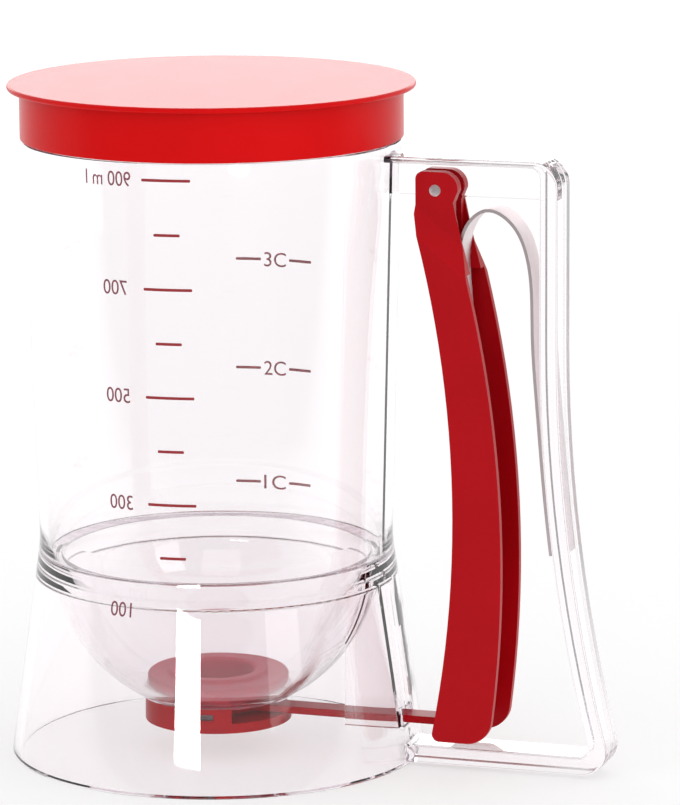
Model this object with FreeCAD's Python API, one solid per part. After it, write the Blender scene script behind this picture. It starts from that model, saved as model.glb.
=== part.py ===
import FreeCAD, Part
import math
import os

from FreeCAD import Vector

# Pancake batter dispenser: a clear cup with a bowl bottom and a loop handle, a sliding gate
# under its outlet, a lever that draws the gate, and a lid.
# Origin at the middle of the base ring, on the surface it stands on. +Z up, +X to the handle.
# Millimetres.

# Clearances
GAP = 0.3
SEAT_GAP = 0.1
RUNNING_GAP = 0.05
SNUG_GAP = 0.02

# How far a cutting shape reaches past what it cuts
CUT_MARGIN = 1.0

# Cup and stand
CUP_HEIGHT = 180.3
CUP_WALL = 2.3
CUP_TOP_RADIUS = 50.6
WAIST_RADIUS = 47.7
WAIST_HEIGHT = 58.5
BASE_RADIUS = 56.2
RIM_STEP = 0.8
RIM_LAP = 13.0
BOWL_RADIUS = 42.2
BOWL_WALL = 2.2
BOWL_CENTRE_HEIGHT = 54.7
LEDGE_SLOPE = 15.0
CROTCH_DEPTH = 6.0

# Moulded radii of the cup and stand, and the bevel of its foot
WAIST_ROUND = 40.0
BASE_CHAMFER = 0.45
RIM_ROUND = 0.3
LEDGE_ROUND = 0.5
CROTCH_ROUND = 0.9

# Outlet ring and its three bayonet tabs
OUTLET_RADIUS = 16.2
SEAT_WIDTH = 3.6
SEAT_THICKNESS = 2.2
COLLAR_WIDTH = 1.1
TAB_WALL = 1.3
TAB_HALF_ANGLE = 5.0
LUG_THICKNESS = 1.2
LUG_REACH = 1.5
LUG_ANGLES = (-80.0, 100.0, 180.0)

# Cap that holds the gate
CAP_HEIGHT = 6.7
CAP_PROUD = 0.1
CAP_WALL = 1.7
CAP_FLOOR = 2.0
CAP_FOOT = 0.7
CAP_FOOT_WIDTH = 2.0
CAP_LAND = 1.4
CAP_HOLE_RADIUS = 9.5
CAP_TWIST = 18.0
WINDOW_HALF_ANGLE = 60.0

# Outlet seal
SEAL_HOLE_RADIUS = 10.0
SEAL_FLARE = 1.2
SEAL_RISE = 4.1
SEAL_EDGE = 0.7

# Gate
GATE_RADIUS = 11.5
GATE_THICKNESS = 2.0
GATE_STEM_WIDTH = 7.0
HOOK_WIDTH = 12.6
HOOK_HEIGHT = 5.6
HOOK_THICKNESS = 2.0

# Guide ribs and the window in the skirt
RIB_THICKNESS = 1.8
RIB_START = 38.0
RIB_SIDE_GAP = 0.8
RIB_DROP = 1.2
WINDOW_HEADROOM = 1.8

# Handle
HANDLE_WIDTH = 12.4
HANDLE_THICKNESS = 5.0
HANDLE_REACH = 46.9
HANDLE_STRAIGHT_TO = 116.0
HANDLE_FLARE_RADIUS = 428.0
HANDLE_TOP_BELOW_RIM = 15.3
TOP_PLATE = 1.8
TOP_WEB_HEIGHT = 8.7
TOP_WEB_THICKNESS = 4.0
TOE_HEIGHT = 12.0
FOOT_BAR_LIFT = 1.0
CORNER_RADIUS = 7.0
INNER_CORNER_RADIUS = 2.4
EDGE_RADIUS = 0.7
PIVOT_LUG_RADIUS = 4.4

# Lever
PIVOT_FROM_CUP = 13.4
PIVOT_BELOW_BAR = 8.6
LEVER_WIDTH = 19.4
LEVER_FLANGE = 2.0
LEVER_BACK_WALL = 2.2
LEVER_OVERHANG = 2.9
LEVER_HEAD_WIDTH = 11.2
LEVER_HEAD_REACH = 6.2
LEVER_HEAD_RISE = 4.9
LEVER_NAPE = 5.4
LEVER_BELLY = 5.8
LEVER_BELLY_HEIGHT = 71.0
LEVER_HEEL = 0.5
LEVER_BROW = 6.9
LEVER_FRONT = 19.1
LEVER_FRONT_HEIGHT = 57.0
LEVER_FRONT_TOE = 15.6
LEVER_TOE_RADIUS = 7.0
LEVER_BROW_RADIUS = 4.5
LEVER_CORNER_RADIUS = 2.0
LEVER_NECK_SET_BACK = 1.3
LEVER_THROAT_WALL = 2.0
LEVER_CHEEK_DROP = 8.5
LEVER_TRAVEL = 8.0
CLEVIS_DEPTH = 5.4
NOTCH_DEPTH = 3.0
SHOULDER_BELOW_PIVOT = 8.4
SHOULDER_TILT = 40.0
SHOULDER_DROP = 5.0

# Pivot pin
PIN_RADIUS = 1.25
PIN_PROUD = 0.2

# Leaf spring
SPRING_WIDTH = 9.0
SPRING_THICKNESS = 0.9
SPRING_TOP_BELOW_WEB = 2.6
SPRING_SHORT_LEG = 65.5
SPRING_LONG_LEG = 91.5
SPRING_NECK_GAP = 0.2
SPRING_RELIEF = 1.4
SPRING_SECTIONS = 90

# The spring's bends: each is (how far down its leg, how far off the face behind it)
SHORT_LEG_ON_WALL = ((1.0, 0.0), (0.756, 0.65))
SHORT_LEG_AT_NECK = ((0.381, 0.5), (0.168, 0.0), (0.049, 2.6), (0.0, 7.3))
LONG_LEG_ON_GRIP = ((0.033, 7.4), (0.12, 3.2), (0.35, 1.5), (0.57, 0.5), (0.847, 0.0), (1.0, 0.0))

# Lid
LID_RADIUS = 54.5
LID_TOP = 1.8
LID_EDGE = 1.5
LID_SKIRT = 1.1

# Places worked out from the sizes above
CENTRE = Vector(0, 0, 0)
UP = Vector(0, 0, 1)
SHOULDER_HEIGHT = CUP_HEIGHT - RIM_LAP
RIM_RADIUS = CUP_TOP_RADIUS - RIM_STEP
SEAT_RADIUS = OUTLET_RADIUS + SEAT_WIDTH
SEAT_HEIGHT = BOWL_CENTRE_HEIGHT - math.sqrt(BOWL_RADIUS ** 2 - SEAT_RADIUS ** 2)
COLLAR_RADIUS = SEAT_RADIUS + COLLAR_WIDTH
COLLAR_BOTTOM = SEAT_HEIGHT - SEAT_THICKNESS
CAP_RADIUS = SEAT_RADIUS + CAP_PROUD
CAP_INNER_RADIUS = CAP_RADIUS - CAP_WALL
CAP_TOP = COLLAR_BOTTOM - GAP
CAP_BOTTOM = CAP_TOP - CAP_HEIGHT
CAP_FLOOR_TOP = CAP_BOTTOM + CAP_FOOT + CAP_FLOOR
GATE_BOTTOM = CAP_FLOOR_TOP + GAP
GATE_TOP = GATE_BOTTOM + GATE_THICKNESS
SEAL_BOTTOM = GATE_TOP + GAP
SEAL_TOP = SEAT_HEIGHT + SEAL_RISE
PIVOT_X = CUP_TOP_RADIUS + PIVOT_FROM_CUP
HANDLE_X = CUP_TOP_RADIUS + HANDLE_REACH
BAR_TOP = CUP_HEIGHT - HANDLE_TOP_BELOW_RIM
PIVOT_Z = BAR_TOP - PIVOT_BELOW_BAR
WEB_BOTTOM = BAR_TOP - TOP_PLATE - TOP_WEB_HEIGHT
LEVER_BOTTOM = GATE_BOTTOM - LEVER_OVERHANG
LEVER_INNER_WIDTH = LEVER_WIDTH - 2 * LEVER_FLANGE
LEVER_HEAD_TOP = PIVOT_Z + LEVER_HEAD_RISE
LEVER_HEAD_BACK = PIVOT_X - LEVER_NAPE
LEVER_HEAD_FRONT = PIVOT_X + LEVER_HEAD_REACH
GATE_ARM = PIVOT_Z - (GATE_BOTTOM + GATE_TOP) / 2
GATE_TRAVEL = GATE_ARM * math.sin(math.radians(LEVER_TRAVEL))


def at(x, z):
    return Vector(x, 0, z)


def spun(points):
    """The solid of a closed outline of (radius, height) points turned about the axis."""
    outline = [at(r, z) for r, z in points]
    face = Part.Face(Part.makePolygon(outline + outline[:1]))
    return face.revolve(CENTRE, UP, 360)


def box(x, y, z):
    """A block from its (low, high) pairs along each axis."""
    corner = Vector(x[0], y[0], z[0])
    return Part.makeBox(x[1] - x[0], y[1] - y[0], z[1] - z[0], corner)


def sector(outer, inner, low, high, start, end):
    """A part turn of a ring, from the start to the end angle in degrees."""
    section = [at(inner, low), at(outer, low), at(outer, high), at(inner, high)]
    face = Part.Face(Part.makePolygon(section + section[:1]))
    face.rotate(CENTRE, UP, start)
    return face.revolve(CENTRE, UP, end - start)


def side_prism(wire, width):
    """The solid of an outline in the XZ plane, that wide across Y."""
    face = Part.Face(wire)
    face.translate(Vector(0, -width / 2, 0))
    return face.extrude(Vector(0, width, 0))


def line(a, b):
    return Part.LineSegment(a, b).toShape()


def arc(a, through, b):
    return Part.Arc(a, through, b).toShape()


def rounded(solid, radius, chosen):
    """The solid with the edges that chosen() picks rounded."""
    edges = [e for e in solid.Edges if chosen(e)]
    return solid.makeFillet(radius, edges)


def near(a, b):
    return abs(a - b) < 1e-4


def cup_outer_radius(height):
    """Outer radius of the cup wall between the waist and the shoulder."""
    share = (height - WAIST_HEIGHT) / (SHOULDER_HEIGHT - WAIST_HEIGHT)
    return WAIST_RADIUS + share * (CUP_TOP_RADIUS - WAIST_RADIUS)


def skirt_outer_radius(height):
    """Outer radius of the flared stand below the waist."""
    share = height / WAIST_HEIGHT
    return BASE_RADIUS + share * (WAIST_RADIUS - BASE_RADIUS)


def sphere_radius_at(radius, height):
    return math.sqrt(radius ** 2 - (BOWL_CENTRE_HEIGHT - height) ** 2)


def sphere_height_at(radius, r):
    return BOWL_CENTRE_HEIGHT - math.sqrt(radius ** 2 - r ** 2)


def bowl_arc(radius, r_from, z_from, r_to, z_to):
    """An arc of the bowl's round section between two of its points."""
    start = math.atan2(z_from - BOWL_CENTRE_HEIGHT, r_from)
    end = math.atan2(z_to - BOWL_CENTRE_HEIGHT, r_to)
    middle = (start + end) / 2
    through = at(radius * math.cos(middle), BOWL_CENTRE_HEIGHT + radius * math.sin(middle))
    return arc(at(r_from, z_from), through, at(r_to, z_to))


def waist_bend():
    """The soft bend outside the waist: an arc from the cup's wall to the stand's."""
    corner = at(WAIST_RADIUS, WAIST_HEIGHT)
    upwards = at(CUP_TOP_RADIUS - WAIST_RADIUS, SHOULDER_HEIGHT - WAIST_HEIGHT).normalize()
    downwards = at(BASE_RADIUS - WAIST_RADIUS, -WAIST_HEIGHT).normalize()
    half_turn = upwards.getAngle(-downwards) / 2
    reach = WAIST_ROUND * math.tan(half_turn)
    outwards = (upwards + downwards).normalize()
    through = corner + outwards * (WAIST_ROUND / math.cos(half_turn) - WAIST_ROUND)
    return arc(corner + upwards * reach, through, corner + downwards * reach)


def make_shell():
    """Cup wall, bowl, outlet ring and stand as one turned solid."""
    outer_bowl = BOWL_RADIUS + BOWL_WALL
    ledge_radius = WAIST_RADIUS - CUP_WALL
    ledge_low = BOWL_CENTRE_HEIGHT
    ledge_high = ledge_low + (ledge_radius - BOWL_RADIUS) * math.tan(math.radians(LEDGE_SLOPE))
    crotch_height = BOWL_CENTRE_HEIGHT - CROTCH_DEPTH
    crotch_bowl = sphere_radius_at(outer_bowl, crotch_height)
    crotch_skirt = skirt_outer_radius(crotch_height) - CUP_WALL
    collar_top = sphere_height_at(outer_bowl, COLLAR_RADIUS)
    corners = [
        at(COLLAR_RADIUS, collar_top),
        at(COLLAR_RADIUS, COLLAR_BOTTOM),
        at(OUTLET_RADIUS, COLLAR_BOTTOM),
        at(OUTLET_RADIUS, SEAT_HEIGHT),
        at(SEAT_RADIUS, SEAT_HEIGHT),
    ]
    bend = waist_bend()
    bend_top = bend.Vertexes[0].Point
    bend_foot = bend.Vertexes[-1].Point
    rim_inner = CUP_TOP_RADIUS - CUP_WALL
    wall = [
        at(BOWL_RADIUS, ledge_low),
        at(ledge_radius, ledge_high),
        at(rim_inner, SHOULDER_HEIGHT),
        at(rim_inner, CUP_HEIGHT),
        at(RIM_RADIUS, CUP_HEIGHT),
        at(RIM_RADIUS, SHOULDER_HEIGHT),
        at(CUP_TOP_RADIUS, SHOULDER_HEIGHT),
        bend_top,
    ]
    stand = [
        bend_foot,
        at(BASE_RADIUS, 0),
        at(BASE_RADIUS - CUP_WALL, 0),
        at(crotch_skirt, crotch_height),
        at(crotch_bowl, crotch_height),
    ]
    edges = [line(a, b) for a, b in zip(corners, corners[1:])]
    edges.append(bowl_arc(BOWL_RADIUS, SEAT_RADIUS, SEAT_HEIGHT, BOWL_RADIUS, BOWL_CENTRE_HEIGHT))
    edges += [line(a, b) for a, b in zip(wall, wall[1:])]
    edges.append(bend)
    edges += [line(a, b) for a, b in zip(stand, stand[1:])]
    edges.append(bowl_arc(outer_bowl, crotch_bowl, crotch_height, COLLAR_RADIUS, collar_top))
    shell = Part.Face(Part.Wire(edges)).revolve(CENTRE, UP, 360)
    rim = [at(rim_inner, CUP_HEIGHT), at(RIM_RADIUS, CUP_HEIGHT), at(CUP_TOP_RADIUS, SHOULDER_HEIGHT)]
    crotch_round = min(CROTCH_ROUND, (crotch_skirt - crotch_bowl) / 3)
    rounds = [
        (RIM_ROUND, rim),
        (LEDGE_ROUND, [at(BOWL_RADIUS, ledge_low), at(ledge_radius, ledge_high)]),
        (crotch_round, [at(crotch_skirt, crotch_height), at(crotch_bowl, crotch_height)]),
    ]
    for radius, rings in rounds:
        shell = rounded(shell, radius, lambda e: is_ring(e, rings))
    foot = [at(BASE_RADIUS, 0), at(BASE_RADIUS - CUP_WALL, 0)]
    return shell.makeChamfer(BASE_CHAMFER, [e for e in shell.Edges if is_ring(e, foot)])


def is_ring(edge, rings):
    """True for a circle about the axis at one of those (radius, height) places."""
    reach = edge.BoundBox
    level = near(reach.ZMin, reach.ZMax)
    return level and any(near(reach.XMax, p.x) and near(reach.ZMin, p.z) for p in rings)


def flare_point(radius, height):
    """Where the handle's flared stretch of that radius is at a height."""
    drop = HANDLE_STRAIGHT_TO - height
    return at(HANDLE_X + HANDLE_FLARE_RADIUS - math.sqrt(radius ** 2 - drop ** 2), height)


def grip_point(height, inset):
    """A point that far inside the grip's inner face at a height."""
    radius = HANDLE_FLARE_RADIUS + HANDLE_THICKNESS + inset
    if height > HANDLE_STRAIGHT_TO:
        return at(HANDLE_X - HANDLE_THICKNESS - inset, height)
    return flare_point(radius, height)


def make_handle_loop():
    """Top plate, grip and foot bar as one bent strip."""
    root_top = cup_outer_radius(BAR_TOP) - CUP_WALL / 2
    root_foot = BASE_RADIUS - CUP_WALL / 2
    inner_radius = HANDLE_FLARE_RADIUS + HANDLE_THICKNESS
    foot_top = FOOT_BAR_LIFT + HANDLE_THICKNESS
    middle = (HANDLE_STRAIGHT_TO + TOE_HEIGHT) / 2
    outer_toe = flare_point(HANDLE_FLARE_RADIUS, FOOT_BAR_LIFT)
    inner_toe = flare_point(inner_radius, foot_top)
    plate_bottom = BAR_TOP - TOP_PLATE
    inner_x = HANDLE_X - HANDLE_THICKNESS
    edges = [
        line(at(root_top, BAR_TOP), at(HANDLE_X, BAR_TOP)),
        line(at(HANDLE_X, BAR_TOP), at(HANDLE_X, HANDLE_STRAIGHT_TO)),
        arc(at(HANDLE_X, HANDLE_STRAIGHT_TO), flare_point(HANDLE_FLARE_RADIUS, middle), outer_toe),
        line(outer_toe, at(root_foot, FOOT_BAR_LIFT)),
        line(at(root_foot, FOOT_BAR_LIFT), at(root_foot, foot_top)),
        line(at(root_foot, foot_top), inner_toe),
        arc(inner_toe, flare_point(inner_radius, middle), at(inner_x, HANDLE_STRAIGHT_TO)),
        line(at(inner_x, HANDLE_STRAIGHT_TO), at(inner_x, plate_bottom)),
        line(at(inner_x, plate_bottom), at(root_top, plate_bottom)),
        line(at(root_top, plate_bottom), at(root_top, BAR_TOP)),
    ]
    loop = side_prism(Part.Wire(edges), HANDLE_WIDTH)
    outer_corners = (at(HANDLE_X, BAR_TOP), outer_toe)
    inner_corners = (inner_toe, at(inner_x, plate_bottom))
    loop = rounded(loop, CORNER_RADIUS, lambda e: is_corner(e, outer_corners))
    loop = rounded(loop, INNER_CORNER_RADIUS, lambda e: is_corner(e, inner_corners))
    return rounded(loop, EDGE_RADIUS, lambda e: is_long_edge(e, (root_top, root_foot)))


def is_corner(edge, corners):
    """True for an edge across the handle at one of those places."""
    middle = edge.CenterOfMass
    return any(near(middle.x, c.x) and near(middle.z, c.z) for c in corners)


def is_long_edge(edge, roots):
    """True for an edge along the handle's side, away from its roots in the cup."""
    ends = edge.BoundBox
    on_side = near(ends.YMin, ends.YMax) and near(abs(ends.YMin), HANDLE_WIDTH / 2)
    at_root = near(ends.XMin, ends.XMax) and any(near(ends.XMin, r) for r in roots)
    return on_side and not at_root


def make_top_web():
    """Rib under the top plate, with a round lug for the pivot pin."""
    root = cup_outer_radius(WEB_BOTTOM) - CUP_WALL / 2
    half = TOP_WEB_THICKNESS / 2
    web_top = BAR_TOP - TOP_PLATE / 2
    web = box((root, HANDLE_X - HANDLE_THICKNESS / 2), (-half, half), (WEB_BOTTOM, web_top))
    return web.fuse(pivot_cylinder(PIVOT_LUG_RADIUS, TOP_WEB_THICKNESS))


def pivot_cylinder(radius, width):
    """A cylinder about the lever's pivot, that wide across Y."""
    return Part.makeCylinder(radius, width, Vector(PIVOT_X, -width / 2, PIVOT_Z), Vector(0, 1, 0))


def make_guide_ribs():
    """Two ribs from the bowl to the skirt, one each side of the gate's stem."""
    inner = GATE_STEM_WIDTH / 2 + RIB_SIDE_GAP
    low = GATE_BOTTOM - RIB_DROP
    far = skirt_outer_radius(low) - CUP_WALL / 2
    bowl_top = sphere_height_at(BOWL_RADIUS + BOWL_WALL / 2, RIB_START)
    top_far = at(skirt_outer_radius(BOWL_CENTRE_HEIGHT) - CUP_WALL / 2, BOWL_CENTRE_HEIGHT)
    corners = [at(RIB_START, low), at(far, low), top_far, at(RIB_START, bowl_top)]
    edges = [line(a, b) for a, b in zip(corners[:3], corners[1:3])]
    middle_radius = BOWL_RADIUS + BOWL_WALL / 2
    start = at(middle_radius, BOWL_CENTRE_HEIGHT)
    edges.append(line(top_far, start))
    edges.append(bowl_arc(middle_radius, start.x, start.z, RIB_START, bowl_top))
    edges.append(line(at(RIB_START, bowl_top), at(RIB_START, low)))
    ribs = []
    for side in (-1, 1):
        rib = side_prism(Part.Wire(edges), RIB_THICKNESS)
        rib.translate(Vector(0, side * (inner + RIB_THICKNESS / 2), 0))
        ribs.append(rib)
    return ribs


def make_bayonet_tab(angle):
    """A tab under the outlet ring with a lug that points outwards."""
    low = COLLAR_BOTTOM - GAP - CAP_LAND - GAP - LUG_THICKNESS
    start = angle - TAB_HALF_ANGLE
    end = angle + TAB_HALF_ANGLE
    outside = CAP_INNER_RADIUS - GAP
    inside = outside - TAB_WALL
    tab = sector(outside, inside, low, COLLAR_BOTTOM, start, end)
    lug = sector(outside + LUG_REACH, inside, low, low + LUG_THICKNESS, start, end)
    return tab.fuse(lug)


def make_container():
    """Cup, bowl, stand, handle, guide ribs and bayonet tabs, moulded as one."""
    shell = make_shell()
    pieces = [make_handle_loop(), make_top_web()] + make_guide_ribs()
    pieces += [make_bayonet_tab(angle) for angle in LUG_ANGLES]
    solid = shell.multiFuse(pieces)
    half = GATE_STEM_WIDTH / 2 + RIB_SIDE_GAP
    low = GATE_BOTTOM - RIB_DROP
    slot = box((RIB_START, BASE_RADIUS), (-half, half), (low, GATE_TOP + WINDOW_HEADROOM))
    solid = solid.cut(slot)
    solid = solid.cut(pivot_cylinder(PIN_RADIUS + RUNNING_GAP, HANDLE_WIDTH))
    return solid.removeSplitter()


def make_outlet_seal():
    """Soft ring that sits in the bowl's opening, with a neck down to the gate."""
    neck = OUTLET_RADIUS - GAP
    flange = SEAT_RADIUS - GAP
    seat = SEAT_HEIGHT + SEAT_GAP
    return spun([
        (SEAL_HOLE_RADIUS, SEAL_BOTTOM),
        (neck, SEAL_BOTTOM),
        (neck, seat),
        (flange, seat),
        (flange, SEAL_TOP - SEAL_EDGE),
        (flange - SEAL_EDGE, SEAL_TOP),
        (SEAL_HOLE_RADIUS + SEAL_FLARE, SEAL_TOP),
        (SEAL_HOLE_RADIUS, SEAL_TOP - SEAL_FLARE),
    ])


def make_gate_cap():
    """Twist cap under the outlet: floor with a hole, wall with a wide window and bayonet slots."""
    floor_bottom = CAP_BOTTOM + CAP_FOOT
    cap = spun([
        (CAP_HOLE_RADIUS, floor_bottom),
        (CAP_RADIUS - CAP_FOOT_WIDTH, floor_bottom),
        (CAP_RADIUS - CAP_FOOT_WIDTH, CAP_BOTTOM),
        (CAP_RADIUS, CAP_BOTTOM),
        (CAP_RADIUS, CAP_TOP),
        (CAP_INNER_RADIUS, CAP_TOP),
        (CAP_INNER_RADIUS, CAP_FLOOR_TOP),
        (CAP_HOLE_RADIUS, CAP_FLOOR_TOP),
    ])
    beyond = CAP_RADIUS + CUT_MARGIN
    within = CAP_INNER_RADIUS - CUT_MARGIN
    above = CAP_TOP + CUT_MARGIN
    cap = cap.cut(sector(beyond, within, CAP_FLOOR_TOP, above, -WINDOW_HALF_ANGLE, WINDOW_HALF_ANGLE))
    play = math.degrees(GAP / CAP_INNER_RADIUS)
    reach = TAB_HALF_ANGLE + play
    slot_top = CAP_TOP - CAP_LAND
    slot_low = slot_top - LUG_THICKNESS - 2 * GAP
    for angle in LUG_ANGLES:
        entry = angle - CAP_TWIST
        cap = cap.cut(sector(beyond, within, slot_low, slot_top, entry - reach, angle + reach))
        cap = cap.cut(sector(beyond, within, slot_low, above, entry - reach, entry + reach))
    return cap


class CircleThrough:
    """The circle through three points of the XZ plane, on the side of larger X."""

    def __init__(self, a, b, c):
        circle = Part.Arc(a, b, c).toShape().Curve
        self.centre = circle.Center
        self.radius = circle.Radius

    def x_at(self, height):
        drop = height - self.centre.z
        return self.centre.x + math.sqrt(self.radius ** 2 - drop ** 2)

    def point(self, height, shift=0.0):
        return at(self.x_at(height) + shift, height)


def back_curve(inset=0.0):
    """The lever's back towards the cup, set in by a wall."""
    nape = at(PIVOT_X - LEVER_NAPE + inset, PIVOT_Z - LEVER_HEAD_REACH)
    belly = at(PIVOT_X + LEVER_BELLY + inset, LEVER_BELLY_HEIGHT)
    heel = at(PIVOT_X - LEVER_HEEL + inset, LEVER_BOTTOM)
    return CircleThrough(nape, belly, heel)


def front_curve():
    """The lever's open edge towards the grip."""
    brow = at(PIVOT_X + LEVER_BROW, PIVOT_Z - 2 * LEVER_HEAD_REACH)
    front = at(PIVOT_X + LEVER_FRONT, LEVER_FRONT_HEIGHT)
    toe = at(PIVOT_X + LEVER_FRONT_TOE, LEVER_BOTTOM)
    return CircleThrough(brow, front, toe)


def lever_blank():
    """The lever's outline at full width, before its head is narrowed and its channel is cut."""
    nape_height = PIVOT_Z - LEVER_HEAD_REACH
    brow_height = PIVOT_Z - 2 * LEVER_HEAD_REACH
    back = back_curve()
    front = front_curve()
    nape = at(LEVER_HEAD_BACK, nape_height)
    crown_back = at(LEVER_HEAD_BACK, LEVER_HEAD_TOP)
    crown_front = at(LEVER_HEAD_FRONT, LEVER_HEAD_TOP)
    cheek = at(LEVER_HEAD_FRONT, PIVOT_Z)
    brow = front.point(brow_height)
    heel = back.point(LEVER_BOTTOM)
    toe = front.point(LEVER_BOTTOM)
    neck = at(LEVER_HEAD_FRONT - LEVER_NECK_SET_BACK, PIVOT_Z - LEVER_HEAD_REACH / 2)
    edges = [
        line(crown_back, nape),
        arc(nape, back.point(LEVER_BELLY_HEIGHT), heel),
        line(heel, toe),
        arc(toe, front.point(LEVER_FRONT_HEIGHT), brow),
        line(brow, neck),
        line(neck, cheek),
        line(cheek, crown_front),
        line(crown_front, crown_back),
    ]
    blank = side_prism(Part.Wire(edges), LEVER_WIDTH)
    blank = rounded(blank, LEVER_TOE_RADIUS, lambda e: is_corner(e, [toe]))
    blank = rounded(blank, LEVER_BROW_RADIUS, lambda e: is_corner(e, [crown_front]))
    return rounded(blank, LEVER_CORNER_RADIUS, lambda e: is_corner(e, [heel, crown_back]))


def shoulder_cutter(shoulder):
    """What is taken off one side of the lever's head, down to a sloped shoulder."""
    half_head = LEVER_HEAD_WIDTH / 2
    side = LEVER_WIDTH
    tall = 2 * LEVER_WIDTH
    slope = SHOULDER_DROP / (LEVER_WIDTH / 2 - half_head)
    outline = [
        Vector(-tall, half_head, 0),
        Vector(-tall, half_head, tall),
        Vector(-tall, side, tall),
        Vector(-tall, side, -slope * (side - half_head)),
    ]
    cutter = Part.Face(Part.makePolygon(outline + outline[:1])).extrude(Vector(2 * tall, 0, 0))
    cutter.rotate(CENTRE, Vector(0, 1, 0), SHOULDER_TILT)
    cutter.translate(at(PIVOT_X, shoulder))
    return cutter


def channel_cutter(low, top, far, width):
    """What leaves the lever's back wall standing between two heights."""
    inner_back = back_curve(LEVER_BACK_WALL)
    return side_prism(Part.Wire([
        arc(inner_back.point(low), inner_back.point(LEVER_BELLY_HEIGHT), inner_back.point(top)),
        line(inner_back.point(top), at(far, top)),
        line(at(far, top), at(far, low)),
        line(at(far, low), inner_back.point(low)),
    ]), width)


def make_lever():
    """Squeeze lever: a narrow forked head, and below it a channel that is open towards the grip."""
    back = back_curve()
    inner_back = back_curve(LEVER_BACK_WALL)
    shoulder = PIVOT_Z - SHOULDER_BELOW_PIVOT
    side_cut = shoulder_cutter(shoulder)
    other_cut = side_cut.mirror(CENTRE, Vector(0, 1, 0))
    lever = lever_blank().cut(side_cut).cut(other_cut)
    channel_top = shoulder - SHOULDER_DROP
    low = LEVER_BOTTOM - LEVER_TOE_RADIUS
    high = LEVER_HEAD_TOP + CUT_MARGIN
    far = PIVOT_X + LEVER_FRONT + LEVER_TOE_RADIUS
    spring_room = SPRING_WIDTH / 2 + GAP
    channel = channel_cutter(low, channel_top - LEVER_CHEEK_DROP, far, LEVER_INNER_WIDTH)
    neck_channel = channel_cutter(low, channel_top, far, 2 * spring_room)
    clevis_half = TOP_WEB_THICKNESS / 2 + GAP
    clevis = (-clevis_half, clevis_half)
    clevis_low = PIVOT_Z - CLEVIS_DEPTH
    fork = box((PIVOT_X - LEVER_WIDTH, far), clevis, (clevis_low, high))
    throat_back = inner_back.x_at(channel_top) + LEVER_THROAT_WALL
    throat = box((throat_back, far), clevis, (channel_top - CUT_MARGIN, clevis_low + CUT_MARGIN))
    relief_top = PIVOT_Z - LEVER_HEAD_REACH / 2
    relief = box((LEVER_HEAD_FRONT - SPRING_RELIEF, far), (-spring_room, spring_room),
                 (channel_top - CUT_MARGIN, relief_top))
    notch_half = GATE_STEM_WIDTH / 2 + 2 * GAP
    notch_back = back.x_at(LEVER_BOTTOM) - LEVER_CORNER_RADIUS - CUT_MARGIN
    notch = box((notch_back, inner_back.x_at(GATE_TOP) + NOTCH_DEPTH), (-notch_half, notch_half),
                (low, GATE_TOP + 3 * GAP))
    bore = pivot_cylinder(PIN_RADIUS + SNUG_GAP, LEVER_WIDTH)
    for cutter in (channel, neck_channel, fork, throat, relief, notch, bore):
        lever = lever.cut(cutter)
    return lever


def make_pivot_pin():
    return pivot_cylinder(PIN_RADIUS, LEVER_HEAD_WIDTH + 2 * PIN_PROUD)


def make_gate():
    """Round paddle that closes the outlet, its stem, and the hook that the lever pulls."""
    inner_back = back_curve(LEVER_BACK_WALL)
    hook_x = inner_back.x_at(GATE_BOTTOM + HOOK_HEIGHT) + GAP
    paddle = Part.makeCylinder(GATE_RADIUS, GATE_THICKNESS, Vector(0, 0, GATE_BOTTOM))
    hook_end = hook_x + HOOK_THICKNESS
    half_stem = GATE_STEM_WIDTH / 2
    half_hook = HOOK_WIDTH / 2
    stem = box((0, hook_end), (-half_stem, half_stem), (GATE_BOTTOM, GATE_TOP))
    hook = box((hook_x, hook_end), (-half_hook, half_hook), (GATE_BOTTOM, GATE_BOTTOM + HOOK_HEIGHT))
    return paddle.fuse(stem).fuse(hook).removeSplitter()


def spring_line():
    """Middle line of the bent leaf spring, from its end in the lever to its end on the grip."""
    half = SPRING_THICKNESS / 2
    top = WEB_BOTTOM - SPRING_TOP_BELOW_WEB - half
    wall = back_curve(LEVER_BACK_WALL)
    neck = LEVER_HEAD_FRONT + SPRING_NECK_GAP
    points = []
    for share, off in SHORT_LEG_ON_WALL:
        points.append(wall.point(top - share * SPRING_SHORT_LEG, GAP + half + off))
    for share, off in SHORT_LEG_AT_NECK:
        points.append(at(neck + off, top - share * SPRING_SHORT_LEG))
    for share, off in LONG_LEG_ON_GRIP:
        points.append(grip_point(top - share * SPRING_LONG_LEG, GAP + half + off))
    return points


def make_leaf_spring():
    """The strip that its middle line gives, with its two faces offset from points along it."""
    curve = Part.BSplineCurve()
    curve.interpolate(spring_line())
    first = curve.FirstParameter
    last = curve.LastParameter
    offsets = {-1: [], 1: []}
    for i in range(SPRING_SECTIONS + 1):
        parameter = first + (last - first) * i / SPRING_SECTIONS
        point = curve.value(parameter)
        tangent = curve.tangent(parameter)[0]
        across = Vector(-tangent.z, 0, tangent.x)
        for side in offsets:
            offsets[side].append(point + across * (side * SPRING_THICKNESS / 2))
    faces = {}
    for side, points in offsets.items():
        faces[side] = Part.BSplineCurve()
        faces[side].interpolate(points)
    edges = [
        faces[-1].toShape(),
        line(offsets[-1][-1], offsets[1][-1]),
        faces[1].toShape(),
        line(offsets[1][0], offsets[-1][0]),
    ]
    return side_prism(Part.Wire(edges), SPRING_WIDTH)


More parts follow.
